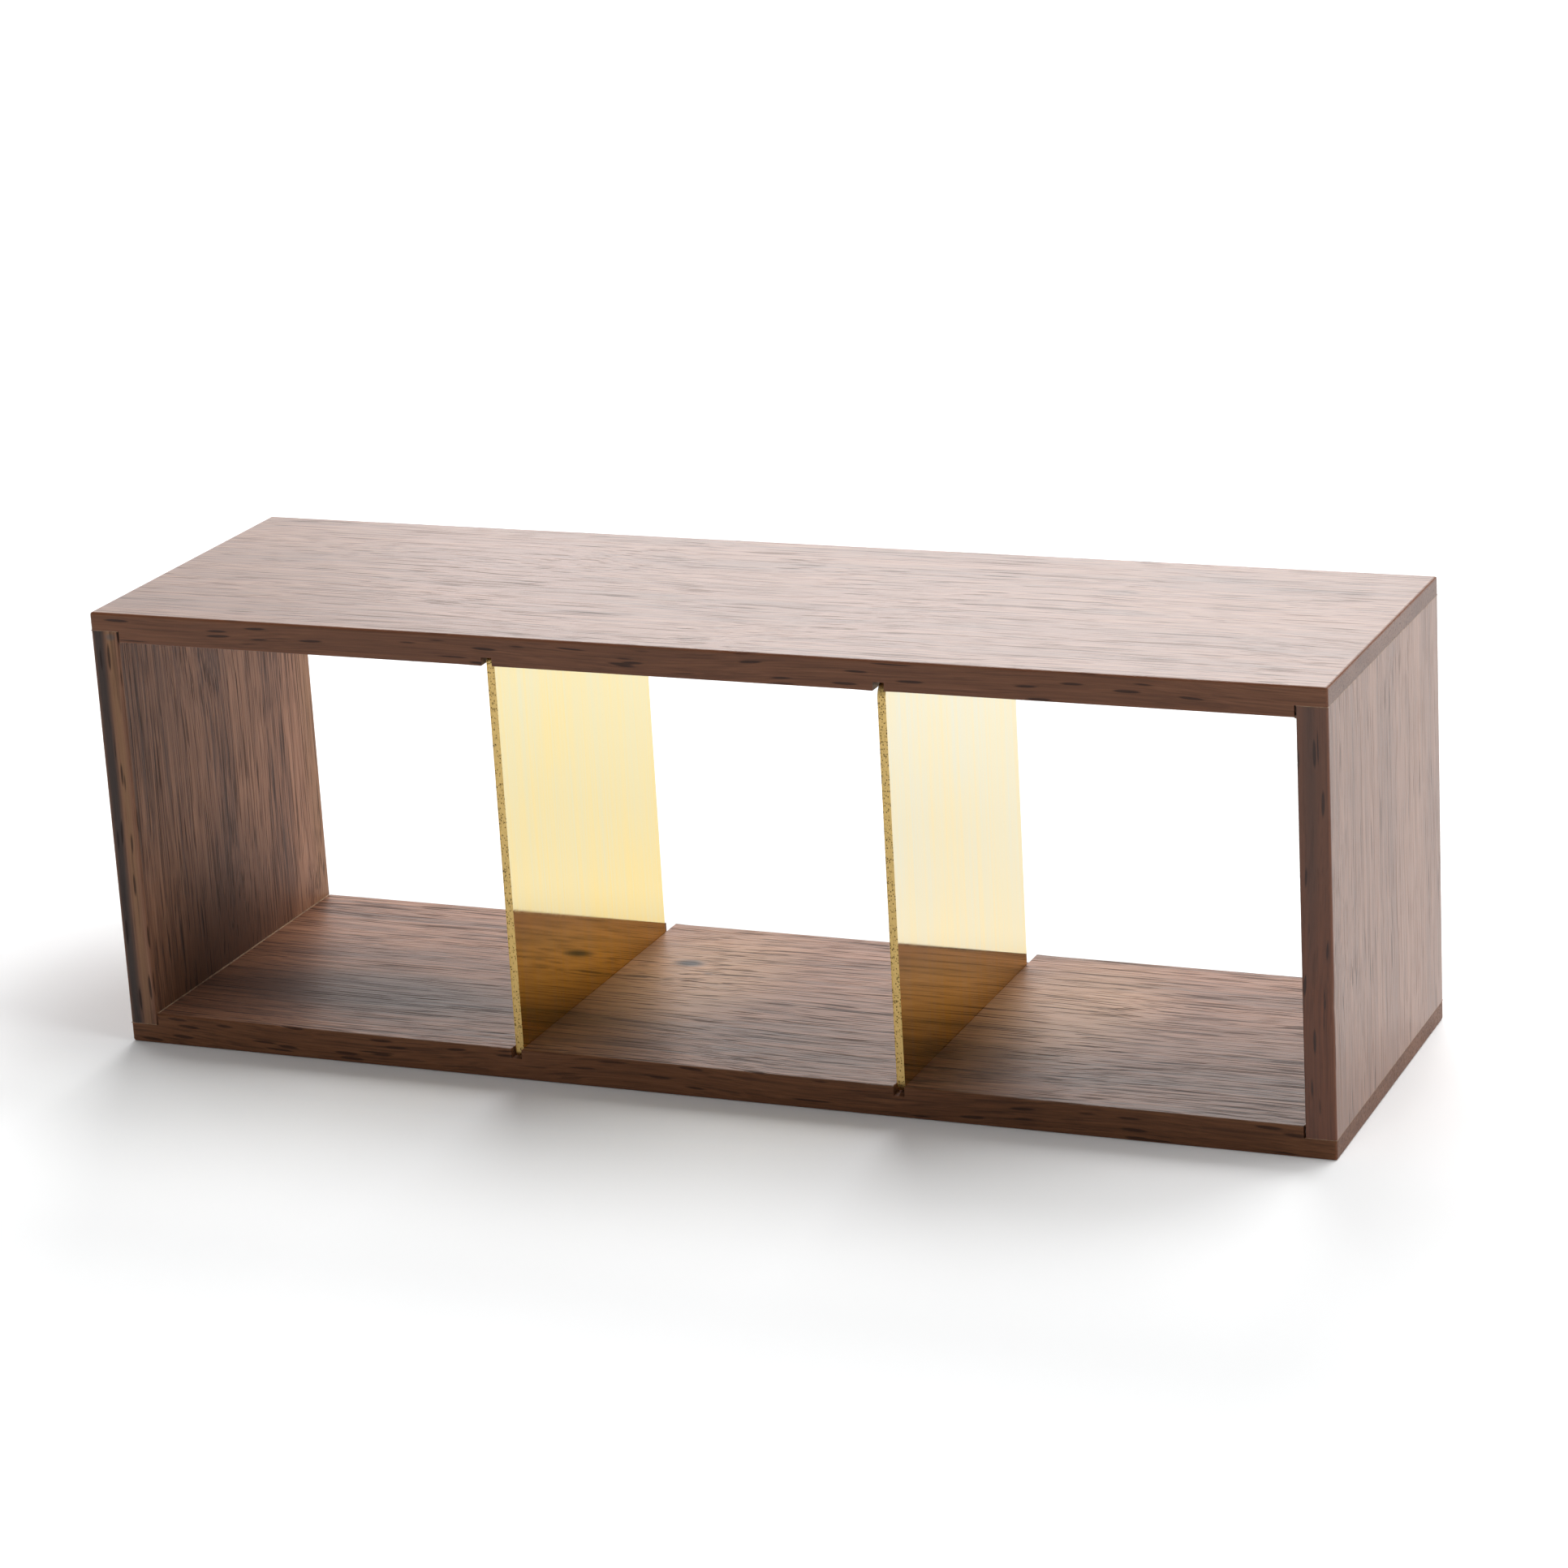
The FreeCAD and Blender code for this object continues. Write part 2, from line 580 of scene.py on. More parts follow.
        large = graph.times(LARGE_PORES.read(graph, wandering, self.edge_dashes), on_edge)
        large = graph.math("MAXIMUM", large, LONG_PORES.read(graph, wandering, self.face_dashes))
        lines = graph.remap(PORE_LINES.read(graph, wandering), *PORE_LINE_RANGE)
        small = graph.times(SMALL_PORES.read(graph, wandering, SMALL_SHARE), SMALL_STRENGTH)
        small = graph.math("MAXIMUM", small, lines)
        small = graph.times(small, graph.remap(on_edge, 0.0, 1.0, 1.0, SMALL_ON_EDGE, smooth=False))
        small = graph.times(small, sanded)
        colour = graph.blend(graph.times(small, self.fine_pores), colour, self.pore)
        colour = graph.blend(graph.times(large, LARGE_STRENGTH), colour, self.pore)
        if self.grain is Grain.ALONG_LENGTH:
            end_grain = graph.remap(behind_end, *END_BAND, 1.0, 0.0)
            colour = graph.blend(graph.times(end_grain, END_STRENGTH), colour, self.end)
        # Painted light: a thin line of colour along the outer arrises, where the light catches their rounding.
        colour = graph.blend(graph.times(self.arris(graph, behind), ARRIS_STRENGTH), colour, self.arris_light)

        open_pores = graph.math("MAXIMUM", large, graph.times(small, SMALL_DEPTH))
        raised = graph.plus(graph.times(fibre, FIBRE_HEIGHT), graph.times(narrow, NARROW_HEIGHT))
        normal = graph.bump(graph.minus(raised, open_pores), self.relief * MM)
        coarse = graph.plus(open_pores, graph.times(narrow, NARROW_COARSENESS))
        roughness = graph.remap(coarse, 0.0, COARSEST, *self.roughness)
        graph.surface(colour, roughness, normal, IOR=self.ior, Sheen_Weight=self.sheen, Sheen_Roughness=0.20)
        return graph.material


@dataclass(frozen=True)
class BrushedBrass:
    """The flat faces of a brass plate, brushed up and down.

    Attributes:
        name: The material's name.
        colour: The clean metal.
        tarnish_and_reflection: The metal where it has gone dull, and the colour of the painted reflection of
            the wooden floor near the foot.
        painted_foot_reflection: How strongly the painted reflection of the wooden floor shows at the plate's
            foot.
        foot_slope: How much higher the painted reflection reaches at the front, as a share of the depth.
        foot_reach: Where the painted reflection starts to fade, and where it ends, in millimetres.
        lower_tint: How much more of the dull colour shows near the foot than near the head, growing evenly
            downwards.
        cloud_tarnish: How strongly its dull clouds show.
        lines: How strongly the brush lines show.
        roughness: The roughness between the brush lines and in them.
        relief: How far the brush lines stand out, in millimetres.
    """

    name: str
    colour: Triple = (0.656, 0.600, 0.388)
    tarnish_and_reflection: Triple = (0.880, 0.575, 0.050)
    painted_foot_reflection: float = 0.66
    foot_slope: float = 0.28
    foot_reach: tuple[float, float] = (6.0, 27.0)
    lower_tint: float = 0.20
    cloud_tarnish: float = 0.12
    lines: float = 0.24
    roughness: tuple[float, float] = (0.03, 0.06)
    relief: float = 0.0012

    def material(self) -> bpy.types.Material:
        """Return the finished metal."""
        graph = Graph(self.name)
        place = graph.place_mm()
        hair = graph.noise(graph.stretch(place, (1.0, 1 / 0.22, 1 / 55)), 3.0, 0.6)
        coarse = graph.noise(graph.stretch(place, (1.0, 1 / 1.7, 1 / 120)), 3.0, 0.6)
        cloud = graph.noise(graph.stretch(place, (1.0, 1 / 19, 1 / 34)), 3.0, 0.5)
        brushed = graph.remap(graph.times(graph.plus(hair, coarse), 0.5), 0.36, 0.64)
        _, depth, height = graph.parts(place)
        slanted = graph.plus(height, graph.times(depth, self.foot_slope))
        # Painted reflection: near the foot the metal takes the colour that the wooden floor gives it in
        # reflection.
        foot = graph.remap(slanted, *self.foot_reach, self.painted_foot_reflection, 0.0)
        # Darker and more orange towards the foot, evenly from head to foot.
        low = graph.remap(height, 10.0, 75.0, self.lower_tint, 0.0, smooth=False)
        clouds = graph.remap(cloud, 0.42, 0.75, 0.0, self.cloud_tarnish)
        dulled_and_reflected = graph.plus(graph.math("MAXIMUM", foot, low), clouds)
        dulled_and_reflected = graph.math("ADD", dulled_and_reflected, graph.times(brushed, self.lines), clamp=True)
        colour = graph.blend(dulled_and_reflected, self.colour, self.tarnish_and_reflection)
        roughness = graph.remap(brushed, 0.0, 1.0, *self.roughness)
        graph.surface(colour, roughness, graph.bump(brushed, self.relief * MM), Metallic=1.0, IOR=1.5)
        return graph.material


@dataclass(frozen=True)
class ShearedBrass:
    """The narrow edges of a brass plate, left rough by the shear.

    Attributes:
        name: The material's name.
        colour: The metal.
        pit: What lies in its pits.
        pit_share: The share of places that hold a pit.
        relief: How rough it is, in millimetres.
    """

    name: str
    colour: Triple = (0.62, 0.43, 0.16)
    pit: Triple = (0.055, 0.034, 0.012)
    pit_share: float = 0.55
    relief: float = 0.05

    def material(self) -> bpy.types.Material:
        """Return the finished metal."""
        graph = Graph(self.name)
        place = graph.place_mm()
        torn = graph.noise(graph.stretch(place, (1 / 0.35, 1 / 0.45, 1 / 0.7)), 4.0, 0.7)
        distance, chance = graph.cells(graph.stretch(place, (1 / 0.36, 1 / 0.36, 1 / 0.46)))
        round_pits = graph.remap(distance, 0.15, 0.50, 1.0, 0.0)
        pits = graph.times(round_pits, graph.math("LESS_THAN", chance, self.pit_share))
        dirt = graph.math("MAXIMUM", graph.times(pits, 0.92), graph.remap(torn, 0.56, 0.70, 0.0, 0.75))
        colour = graph.blend(dirt, self.colour, self.pit)
        roughness = graph.remap(torn, 0.3, 0.7, 0.30, 0.55)
        normal = graph.bump(graph.minus(torn, graph.times(pits, 0.8)), self.relief * MM)
        graph.surface(colour, roughness, normal, Metallic=1.0, IOR=1.5)
        return graph.material


@dataclass(frozen=True)
class DriedGlue:
    """Thin wood glue, dried to a dull amber.

    Attributes:
        name: The material's name.
        colour: The glue.
        dust: The sanding dust in it.
        grain: The size of its mottling, in millimetres.
        relief: How rough it is, in millimetres.
    """

    name: str
    colour: Triple = (0.36, 0.22, 0.12)
    dust: Triple = (0.22, 0.12, 0.07)
    grain: float = 0.8
    relief: float = 0.03

    def material(self) -> bpy.types.Material:
        """Return the finished glue."""
        graph = Graph(self.name)
        mottled = graph.noise(graph.stretch(graph.place_mm(), (1 / self.grain,) * 3), 3.0)
        colour = graph.blend(graph.remap(mottled, 0.35, 0.65), self.colour, self.dust)
        roughness = graph.remap(mottled, 0.3, 0.7, 0.35, 0.6)
        graph.surface(colour, roughness, graph.bump(mottled, self.relief * MM), IOR=1.5)
        return graph.material


class Element(Enum):
    """What is picked on a mesh."""

    POINT = "VERT"
    EDGE = "EDGE"
    FACE = "FACE"


class Workpiece:
    """One piece on the bench: a block that is sawn, eased and worn by ordinary edit-mode steps.

    The steps act on the active object, which is the piece made last. On an earlier piece they do nothing.
    """

    def __init__(self, name: str, low: Vector, high: Vector) -> None:
        """Start from a block.

        Args:
            name: The piece's name.
            low: The block's lowest corner.
            high: Its highest corner.
        """
        if bpy.context.mode != "OBJECT":
            bpy.ops.object.mode_set(mode="OBJECT")
        bpy.ops.object.select_all(action="DESELECT")
        bpy.ops.mesh.primitive_cube_add(size=1.0, location=(low + high) / 2, scale=high - low)
        self.item = bpy.context.object
        self.item.name = name
        bpy.ops.object.transform_apply(location=True, rotation=True, scale=True)

    def pick(self, element: Element, test: Test) -> int:
        """Select some points, edges or faces, and stay in edit mode.

        Args:
            element: What is picked.
            test: Says whether one is picked, from its middle and its normal, or for an edge its direction.

        Returns:
            How many were picked.
        """
        bpy.ops.object.mode_set(mode="EDIT")
        bpy.ops.mesh.select_mode(type=element.value)
        bpy.ops.mesh.select_all(action="DESELECT")
        bpy.ops.object.mode_set(mode="OBJECT")
        mesh = self.item.data
        count = 0
        if element is Element.POINT:
            for point in mesh.vertices:
                point.select = test(point.co, point.normal)
                count += point.select
        elif element is Element.EDGE:
            for edge in mesh.edges:
                start, end = (mesh.vertices[index].co for index in edge.vertices)
                edge.select = test((start + end) / 2, (end - start).normalized())
                count += edge.select
        else:
            for face in mesh.polygons:
                face.select = test(face.center, face.normal)
                count += face.select
        bpy.ops.object.mode_set(mode="EDIT")
        return count

    def cut(self, axis: int, places: Iterable[float], keep: Test | None = None) -> None:
        """Score the surface across an axis at some places.

        Args:
            axis: 0, 1 or 2 for X, Y or Z.
            places: Where to cut.
            keep: Says which faces aren't cut, or None where all are.
        """
        normal = Vector((0, 0, 0))
        normal[axis] = 1.0
        self.pick(Element.FACE, keep or (lambda centre, direction: False))
        bpy.ops.mesh.hide(unselected=False)
        for place in places:
            bpy.ops.mesh.select_all(action="SELECT")
            bpy.ops.mesh.bisect(plane_co=normal * place, plane_no=normal)
        bpy.ops.mesh.reveal(select=False)

    def drop(self, test: Test) -> None:
        """Delete faces."""
        self.pick(Element.FACE, test)
        bpy.ops.mesh.delete(type="FACE")

    def close(self, test: Test) -> None:
        """Close a flat opening between points."""
        self.pick(Element.POINT, test)
        bpy.ops.mesh.edge_face_add()

    def ease(self, width: float, segments: int, test: Test) -> None:
        """Round edges.

        Args:
            width: How wide the rounding is.
            segments: How many facets it has.
            test: Says which edges are rounded.
        """
        if self.pick(Element.EDGE, test):
            bpy.ops.mesh.bevel(offset=width, segments=segments, profile=0.5, affect="EDGES")

    def tremble(self, amount: float, seed: int, test: Test) -> None:
        """Move points by small random steps, as a hand with sandpaper does."""
        self.pick(Element.POINT, test)
        bpy.ops.transform.vertex_random(offset=amount, uniform=0.0, normal=0.0, seed=seed)

    def dent(self, place: Vector, push: Vector, size: float) -> None:
        """Push the surface in where something struck it.

        Args:
            place: The middle of the dent.
            push: How far its middle moves.
            size: How wide it is.
        """
        nearest = min((point.co for point in self.item.data.vertices), key=lambda co: (co - place).length)
        target = nearest.copy()
        self.pick(Element.POINT, lambda co, normal: (co - target).length < WELD)
        bpy.ops.transform.translate(value=push, use_proportional_edit=True,
                                    proportional_edit_falloff="SMOOTH", proportional_size=size)
        bpy.ops.object.mode_set(mode="OBJECT")

    def paint(self, slot: int, test: Test) -> None:
        """Give faces one of the piece's materials."""
        self.pick(Element.FACE, test)
        self.item.active_material_index = slot
        bpy.ops.object.material_slot_assign()

    def join(self, other: "Workpiece") -> None:
        """Take another workpiece into this one."""
        bpy.ops.object.mode_set(mode="OBJECT")
        bpy.ops.object.select_all(action="DESELECT")
        other.item.select_set(True)
        self.item.select_set(True)
        bpy.context.view_layer.objects.active = self.item
        bpy.ops.object.join()

    def dress(self, *materials: bpy.types.Material) -> None:
        """Give the piece its materials."""
        bpy.ops.object.mode_set(mode="OBJECT")
        for material in materials:
            self.item.data.materials.append(material)

    def finish(self, body: str, node: str, slot: str) -> None:
        """Close the mesh, smooth its rounded edges, and put it in place of its node.

        Args:
            body: The body that the piece rides on.
            node: The node that it stands for.
            slot: The record's material slot. It is not used.
        """
        self.pick(Element.FACE, lambda centre, normal: True)
        bpy.ops.mesh.remove_doubles(threshold=WELD)
        bpy.ops.mesh.normals_make_consistent(inside=False)
        bpy.ops.object.mode_set(mode="OBJECT")
        bpy.ops.object.shade_smooth_by_angle(angle=math.radians(50))
        weighting = self.item.modifiers.new("weighting", "WEIGHTED_NORMAL")
        weighting.keep_sharp = True
        bpy.ops.object.modifier_apply(modifier=weighting.name)
        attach(self.item, body)
        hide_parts(node)
        log.info("%s: %d faces, in place of %s", self.item.name, len(self.item.data.polygons), node)


def steps(low: float, high: float, spacing: float) -> list[float]:
    """Return evenly spaced places between two ends, without the ends."""
    count = max(1, round((high - low) / spacing))
    return [low + (high - low) * index / count for index in range(1, count)]


@dataclass
class BoxFrame:
    """The four glued boards.

    Attributes:
        finishes: Each board's wood, by node.
        rebate_depth: How deep the ends of the long boards are rebated.
        shoulder_gap: The open joint between a side and its shoulder.
        groove_width: The width of the saw grooves.
        top_groove_depth: Their depth in the top board.
        bottom_groove_depth: Their depth in the bottom board.
        outer_round: The rounding of the outer edges.
        inner_round: The rounding of the edges around the openings.
        groove_round: The rounding of the grooves' edges.
        groove_tremble: How far the saw tore the grooves' edges.
        edge_tremble: How far sanding by hand left the outer edges uneven.
        length_step: How finely a long board is divided along its length.
        height_step: How finely a side is divided up its height.
        depth_step: How finely both are divided from front to back.
        fine_step: How finely the grooves' edges are divided.
        bead_step: How finely a bead of glue is divided.
        bead_setback: How far a bead of glue stops short of the frame's front and back.
    """

    finishes: dict[str, Walnut]
    rebate_depth: float = 2.3 * MM
    shoulder_gap: float = 0.3 * MM
    groove_width: float = 2.2 * MM
    top_groove_depth: float = 1.7 * MM
    bottom_groove_depth: float = 1.9 * MM
    outer_round: float = 0.5 * MM
    inner_round: float = 0.3 * MM
    groove_round: float = 0.14 * MM
    groove_tremble: float = 0.05 * MM
    edge_tremble: float = 0.035 * MM
    length_step: float = 5.3 * MM
    height_step: float = 5.2 * MM
    depth_step: float = 5.1 * MM
    fine_step: float = 1.3 * MM
    bead_step: float = 1.7 * MM
    bead_setback: float = 0.6 * MM

    def groove_walls(self) -> list[tuple[float, float]]:
        """Return the left and right wall of each groove. A plate leans on the right wall."""
        rights = [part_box(plate)[1].x for plate in PLATES]
        return [(right - self.groove_width, right) for right in rights]

    def shoulders(self) -> tuple[float, float]:
        """Return where the shoulders of the left and right rebates stand."""
        return (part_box("left_side")[1].x + self.shoulder_gap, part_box("right_side")[0].x - self.shoulder_gap)

    def long_board(self, node: str, name: str, up: int, groove_depth: float) -> Workpiece:
        """Saw, rebate and ease one long board.

        Args:
            node: The board's node.
            name: The new piece's name.
            up: 1 where the grooves face up and -1 where they face down.
            groove_depth: How deep its grooves are.

        Returns:
            The board.
        """
        low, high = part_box(node)
        grooved, plain = (high.z, low.z) if up > 0 else (low.z, high.z)
        rebate = grooved - up * self.rebate_depth
        floor = grooved - up * groove_depth
        left, right = self.shoulders()
        walls = [wall for pair in self.groove_walls() for wall in pair]
        board = Workpiece(name, low, high)
        board.cut(0, [left, right, *walls])
        board.cut(2, [rebate, floor])
        notches = [(low.x, left, rebate), (right, high.x, rebate)]
        notches += [(start, end, floor) for start, end in self.groove_walls()]
        for start, end, depth in notches:
            board.drop(lambda c, n: start - HAIR < c.x < end + HAIR and up * (c.z - depth) > HAIR)
        for start, end, depth in notches:
            for wall in (start, end):
                if low.x + HAIR < wall < high.x - HAIR:
                    board.close(lambda c, n: abs(c.x - wall) < HAIR and up * (c.z - depth) > -HAIR)
            board.close(lambda c, n: start - HAIR < c.x < end + HAIR and abs(c.z - depth) < HAIR)
        board.cut(0, steps(low.x, high.x, self.length_step))
        board.cut(1, steps(low.y, high.y, self.depth_step))
        self.ease_long_board(board, low, high, grooved, plain)

        reach = 1.05 * self.groove_round

        def on_groove_arris(c: Vector) -> bool:
            """Say whether something lies on a groove's rounded edge."""
            return abs(c.z - grooved) < reach and any(abs(c.x - wall) < reach for wall in walls)

        board.cut(1, steps(low.y, high.y, self.fine_step), lambda c, n: not on_groove_arris(c))
        board.tremble(self.groove_tremble, 7 + up,
                      lambda c, n: on_groove_arris(c) and abs(c.y) < high.y - HAIR)
        return board

    def ease_long_board(self, board: Workpiece, low: Vector, high: Vector, grooved: float,
                        plain: float) -> None:
        """Round a long board's edges.

        Args:
            board: The board.
            low: Its lowest corner.
            high: Its highest corner.
            grooved: The height of its grooved face.
            plain: The height of its plain face.
        """
        left, right = self.shoulders()
        walls = [wall for pair in self.groove_walls() for wall in pair]

        def on_end(c: Vector) -> bool:
            """Say whether something lies on one of the board's two ends."""
            return min(abs(c.x - low.x), abs(c.x - high.x)) < HAIR

        def on_front_or_back(c: Vector) -> bool:
            """Say whether something lies on the board's front or back edge."""
            return min(abs(c.y - low.y), abs(c.y - high.y)) < HAIR

        board.ease(self.groove_round, 2, lambda c, d: (
            abs(c.z - grooved) < HAIR and abs(d.y) > 0.9 and any(abs(c.x - wall) < HAIR for wall in walls)))
        board.ease(self.inner_round, 2, lambda c, d: (
            abs(c.z - grooved) < HAIR and abs(d.x) > 0.9 and on_front_or_back(c) and left < c.x < right))
        board.ease(self.outer_round, 3, lambda c, d: (
            (abs(c.z - plain) < HAIR and (on_end(c) or on_front_or_back(c)) and abs(d.z) < 0.1
             and not (on_end(c) and abs(d.x) > 0.9) and not (on_front_or_back(c) and abs(d.y) > 0.9))
            or (on_end(c) and on_front_or_back(c) and abs(d.z) > 0.9)))

    def side_board(self, node: str, name: str) -> Workpiece:
        """Cut and ease one side board.

        Args:
            node: The board's node.
            name: The new piece's name.

        Returns:
            The board.
        """
        low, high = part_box(node)
        outer, inner = (low.x, high.x) if high.x < 0.0 else (high.x, low.x)
        board = Workpiece(name, low, high)
        board.cut(2, steps(low.z, high.z, self.height_step))
        board.cut(1, steps(low.y, high.y, self.depth_step))
        for face, width, segments in ((outer, self.outer_round, 3), (inner, self.inner_round, 2)):
            board.ease(width, segments, lambda c, d: (
                abs(c.x - face) < HAIR and abs(d.z) > 0.9
                and min(abs(c.y - low.y), abs(c.y - high.y)) < HAIR))
        return board

    def glue_film(self, node: str, name: str, bead: float) -> Workpiece:
        """Lay one film of glue, and the thin bead that was squeezed into the inner corner.

        Args:
            node: The film's node.
            name: The new piece's name.
            bead: The bead's radius.

        Returns:
            The film.
        """
        low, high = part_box(node)
        hand = -1 if low.x < 0 else 1
        film = Workpiece(name, low, high)
        at_top = low.z > 0.5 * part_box("top_board")[1].z
        corner_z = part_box("top_board")[0].z if at_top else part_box("bottom_board")[1].z
        corner_x = (high.x if hand < 0 else low.x) - hand * 0.5 * self.shoulder_gap
        size = Vector((bead, 0.5 * (high.y - low.y) - self.bead_setback, bead))
        middle = Vector((corner_x, 0.5 * (low.y + high.y), corner_z))
        roll = Workpiece(name + "_bead", middle - size, middle + size)
        roll.cut(1, steps(low.y, high.y, self.bead_step))
        roll.ease(0.6 * bead, 2, lambda c, d: abs(d.y) > 0.9)
        roll.tremble(0.22 * bead, 5 + hand, lambda c, n: True)
        film.join(roll)
        return film

    def wear(self, boards: dict[str, Workpiece]) -> None:
        """Break and dent the boards where the real ones are broken and dented.

        Only the right side takes its dent, because it was made last and is the active piece.

        Args:
            boards: The boards, by node.
        """
        bottom_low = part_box("bottom_board")[0]
        left_low, left_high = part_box("left_side")
        right_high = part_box("right_side")[1]
        in_left_edge = Vector((left_low.x + 0.45 * (left_high.x - left_low.x), left_low.y, left_high.z))
        on_right_arris = Vector((right_high.x, bottom_low.y, 31.0 * MM))
        boards["bottom_board"].dent(bottom_low, push=Vector((0.85, 0.35, 0.45)) * MM, size=2.6 * MM)
        boards["left_side"].dent(in_left_edge, push=Vector((0.0, 0.5, -0.2)) * MM, size=1.6 * MM)
        boards["right_side"].dent(on_right_arris, push=Vector((-0.25, 0.25, 0.0)) * MM, size=1.2 * MM)

    def build(self) -> None:
        """Make the four boards and the four films of glue."""
        below, above = self.bottom_groove_depth, self.top_groove_depth
        boards = {
            "bottom_board": self.long_board("bottom_board", "walnut_bottom_board", 1, below),
            "top_board": self.long_board("top_board", "walnut_top_board", -1, above),
            "left_side": self.side_board("left_side", "walnut_left_side"),
            "right_side": self.side_board("right_side", "walnut_right_side"),
        }
        self.wear(boards)
        # The right side is the active piece, so on the other three boards the trembling and the smoothing
        # don't take hold, and the weighting stays a live modifier.
        for seed, (node, board) in enumerate(boards.items(), start=11):
            low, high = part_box(node)

            def near_edge(co: Vector, normal: Vector) -> bool:
                """Say whether a point lies on a rounded edge."""
                distances = sorted(min(co[axis] - low[axis], high[axis] - co[axis]) for axis in range(3))
                return distances[1] < 0.9 * self.outer_round and distances[0] > 2 * HAIR

            board.tremble(self.edge_tremble, seed, near_edge)
            board.dress(self.finishes[node].material())
            board.finish("frame", node, "walnut")
        glue = DriedGlue("dried_glue").material()
        for node, bead in BEADS.items():
            film = self.glue_film(node, node + "_seam", bead)
            film.dress(glue)
            film.finish("frame", node, "wood_glue")


@dataclass
class DividerPlate:
    """One loose brass plate.

    Attributes:
        node: The plate's node, which is also the body that it rides on.
        name: The new piece's name.
        corner_radius: The radius of its four corners.
        faces: The finish of its flat faces.
        edges: The finish of its sheared edges.
        seed: What sets the torn pattern.
        rim_width: The width of the strip along each arris of a sheared edge.
        shear_lines: Where a sheared edge changes, as shares of the thickness. It is clean before the first.
        tear_step: How finely a sheared edge is divided.
        tear: How far it is torn.
        burr: How far the burr stands out along one edge.
    """

    node: str
    name: str
    corner_radius: float
    faces: BrushedBrass
    edges: ShearedBrass
    seed: int
    rim_width: float = 0.10 * MM
    shear_lines: tuple[float, ...] = (0.42, 0.62, 0.80)
    tear_step: float = 0.45 * MM
    tear: float = 0.05 * MM
    burr: float = 0.07 * MM

    def build(self) -> None:
        """Cut the plate, round its corners and tear its edges as a shear does."""
        low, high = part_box(self.node)
        plate = Workpiece(self.name, low, high)
        plate.ease(self.corner_radius, 8, lambda c, d: abs(d.x) > 0.9)

        def flat(c: Vector, n: Vector) -> bool:
            """Say whether a face is one of the plate's two flat faces."""
            return abs(n.x) > 0.5

        def rim(c: Vector, n: Vector) -> bool:
            """Say whether a face lies on the plate's narrow edge."""
            return not flat(c, n)

        thickness = high.x - low.x
        burr_line = low.x + self.rim_width
        lines = [low.x + share * thickness for share in self.shear_lines]
        plate.cut(0, [burr_line, *lines, high.x - self.rim_width], flat)
        plate.cut(2, steps(low.z, high.z, self.tear_step), flat)
        plate.cut(1, steps(low.y, high.y, self.tear_step), flat)
        torn, whole = lines[0] + HAIR, high.x - 0.5 * self.rim_width
        plate.tremble(self.tear, self.seed, lambda c, n: torn < c.x < whole)
        plate.pick(Element.FACE, lambda c, n: rim(c, n) and c.x < burr_line and abs(n.y) > 0.5)
        bpy.ops.mesh.extrude_region_shrink_fatten(TRANSFORM_OT_shrink_fatten={"value": self.burr})
        plate.dress(self.faces.material(), self.edges.material())
        plate.paint(1, rim)
        plate.finish(self.node, self.node, "brass")


@dataclass(frozen=True)
class Lamp:
    """A soft rectangular lamp that faces the object.

    Attributes:
        name: Its name.
        azimuth: Where it stands, in degrees clockwise from straight behind the object.
        elevation: How high it stands, in degrees.
        glow: How bright its face is, where 1 is white.
        width: Its width, in metres.
        height: Its height, in metres.
        distance: How far away it stands, in metres.
    """

    name: str
    azimuth: float
    elevation: float
    glow: float
    width: float = 0.8
    height: float = 0.8
    distance: float = 2.0

    def hang(self) -> None:
        """Hang the lamp in the room."""
        data = bpy.data.lights.new(self.name, "AREA")
        data.shape = "RECTANGLE"
        data.size, data.size_y = self.width, self.height
        data.energy = math.pi * self.width * self.height * self.glow
        item = bpy.data.objects.new(self.name, data)
        bpy.context.scene.collection.objects.link(item)
        around, up = math.radians(self.azimuth), math.radians(self.elevation)
        away = Vector((math.sin(around) * math.cos(up), math.cos(around) * math.cos(up), math.sin(up)))
        item.location = Vector((0.0, 0.0, 0.05)) + away * self.distance
        item.rotation_mode = "QUATERNION"
        item.rotation_quaternion = (-away).to_track_quat("-Z", "Y")


